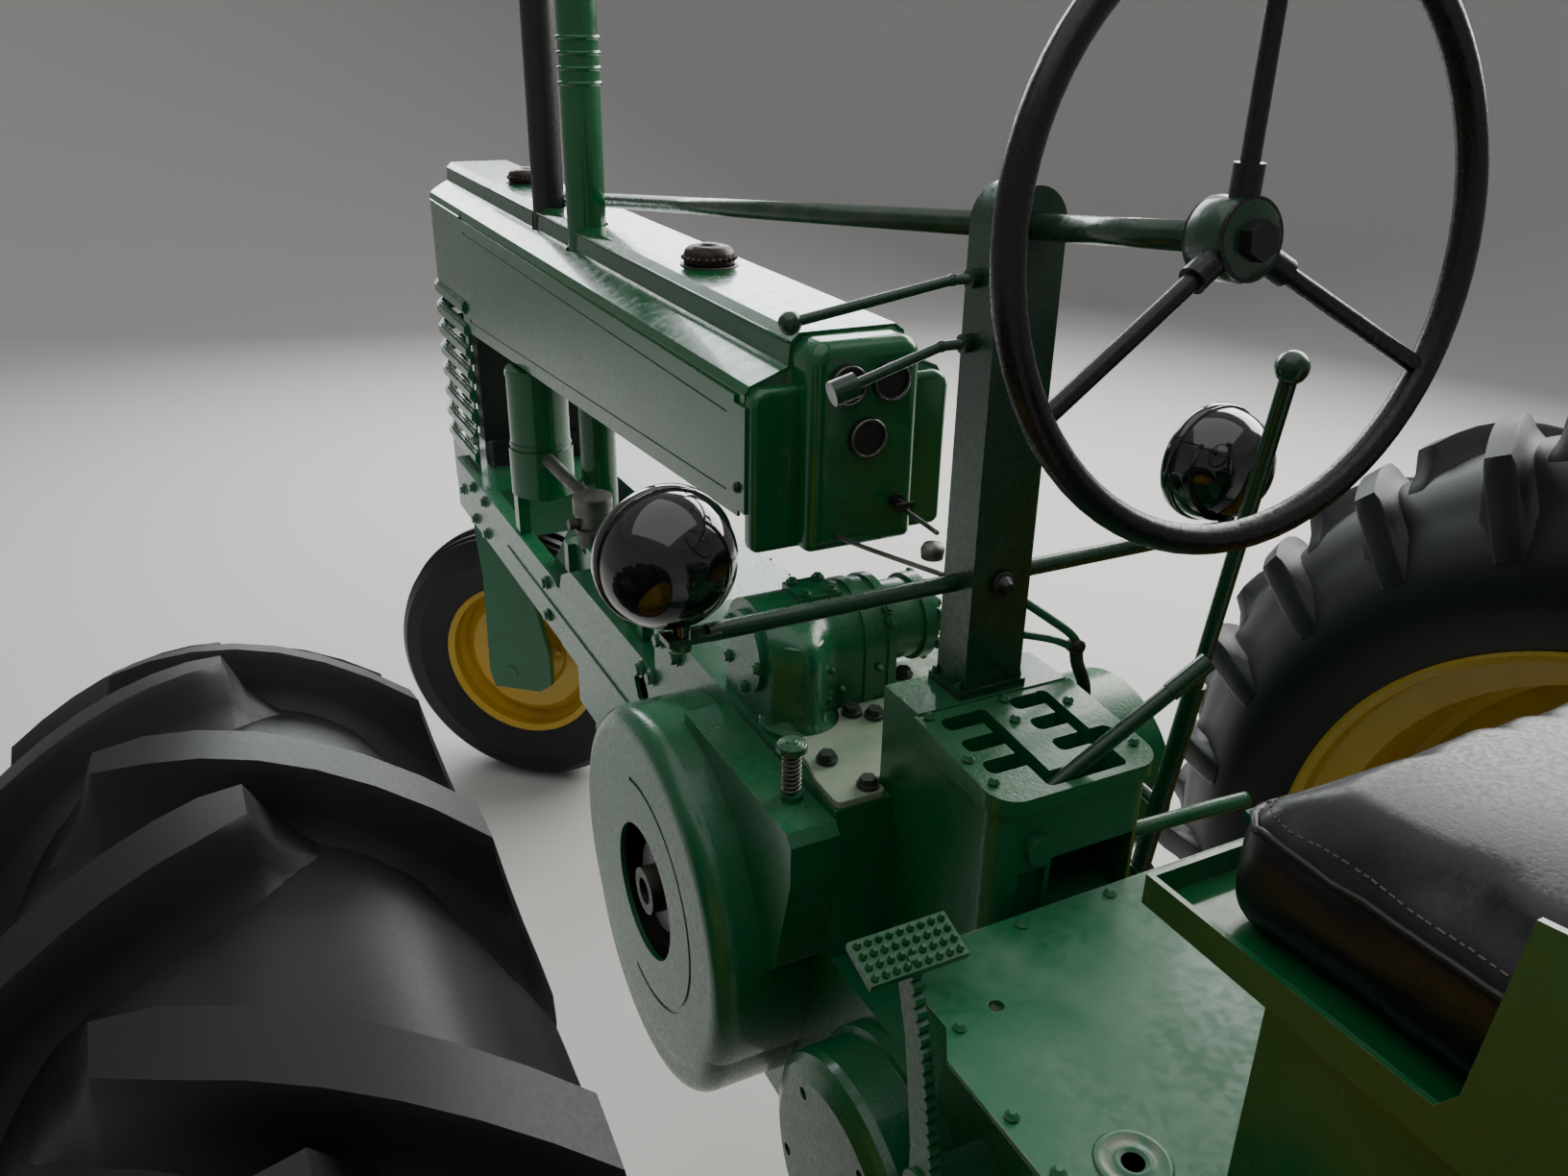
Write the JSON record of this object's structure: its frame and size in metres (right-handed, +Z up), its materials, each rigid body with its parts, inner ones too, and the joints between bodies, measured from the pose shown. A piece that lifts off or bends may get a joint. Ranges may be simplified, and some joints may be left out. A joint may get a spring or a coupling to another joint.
{
  "type": "vintage row-crop tractor",
  "caption": "Row-crop farm tractor with a single steered front wheel, lugged rear tyres, open engine, belt pulley, power take-off, drawbar and a padded seat over the platform",
  "frame": {"origin": "middle of the overall length, on the centre line, on the ground", "axes": "+X forward, +Y to the driver's left, +Z up"},
  "size_m": [3.2916, 1.83, 2.2],
  "materials": {
    "green_paint": "gloss",
    "black_paint": "satin",
    "dial_face": "gloss",
    "rusty_cap": "matte",
    "bare_metal": "satin",
    "black_plastic": "gloss",
    "worn_plate": "satin",
    "vinyl": "satin",
    "yellow_paint": "gloss",
    "tyre_rubber": "matte"
  },
  "bodies": {
    "tractor": {"main_case": "green_paint", "rear_axle_housings": "green_paint", "engine_block": "green_paint", "frame_rails": "green_paint", "front_pedestal": "green_paint", "radiator": "black_paint", "grille_shell": "green_paint", "hood": "green_paint", "hood_sides": "green_paint", "dash_cowl": "green_paint", "gauges": "dial_face", "filler_caps": "rusty_cap", "exhaust_stack": "green_paint", "intake_stack": "black_paint", "air_cleaner": "green_paint", "intake_pipes": "bare_metal", "governor_housing": "green_paint", "flywheel_cover": "green_paint", "shift_case": "green_paint", "gear_lever": "green_paint", "steering_post": "green_paint", "hand_levers": "green_paint", "lamp_bar": "green_paint", "headlamps": "black_paint", "clutch_lever": "black_paint", "brake_pedals": "green_paint", "brake_housings": "green_paint", "starter_button": "green_paint", "platform": "worn_plate", "battery_box": "green_paint", "seat_pan": "green_paint", "seat_cushion": "vinyl", "seat_back": "vinyl", "drawbar": "bare_metal"},
    "steering_wheel": {"steering_wheel": "black_plastic"},
    "front_fork": {"front_fork": "green_paint"},
    "front_wheel": {"front_rim": "yellow_paint", "front_tyre": "tyre_rubber"},
    "rear_wheel_left": {"rear_rim_left": "yellow_paint", "rear_tyre_left": "tyre_rubber"},
    "rear_wheel_right": {"rear_rim_right": "yellow_paint", "rear_tyre_right": "tyre_rubber"},
    "flywheel": {"flywheel": "bare_metal"},
    "belt_pulley": {"belt_pulley": "green_paint"},
    "pto_shaft": {"pto_shaft": "bare_metal"}
  },
  "joints": [
    {"name": "steering_wheel_turn", "type": "hinge", "parent": "tractor", "child": "steering_wheel", "pos_m": [-0.74977, 0, 1.666], "axis": [0.9957, 0, -0.0931], "range_deg": [-1800, 1800]},
    {"name": "front_fork_steer", "type": "hinge", "parent": "tractor", "child": "front_fork", "pos_m": [1.38523, 0, 0.8], "axis": [0, 0, 1], "range_deg": [-125, 25]},
    {"name": "front_wheel_roll", "type": "hinge", "parent": "front_fork", "child": "front_wheel", "pos_m": [1.38523, 0, 0.345], "axis": [-0.766, 0.6428, 0], "continuous": true},
    {"name": "rear_wheel_left_roll", "type": "hinge", "parent": "tractor", "child": "rear_wheel_left", "pos_m": [-0.90077, 0.715, 0.745], "axis": [0, 1, 0], "continuous": true},
    {"name": "rear_wheel_right_roll", "type": "hinge", "parent": "tractor", "child": "rear_wheel_right", "pos_m": [-0.90077, -0.715, 0.745], "axis": [0, 1, 0], "continuous": true},
    {"name": "flywheel_spin", "type": "hinge", "parent": "tractor", "child": "flywheel", "pos_m": [-0.19577, 0.2, 0.79], "axis": [0, 1, 0], "continuous": true},
    {"name": "belt_pulley_spin", "type": "hinge", "parent": "tractor", "child": "belt_pulley", "pos_m": [-0.19577, -0.39, 0.79], "axis": [0, 1, 0], "continuous": true},
    {"name": "pto_shaft_spin", "type": "hinge", "parent": "tractor", "child": "pto_shaft", "pos_m": [-1.15577, 0, 0.64], "axis": [1, 0, 0], "continuous": true}
  ],
  "couplings": [
    {"joint": "steering_wheel_turn", "follows": "front_fork_steer", "ratio": -12}
  ]
}
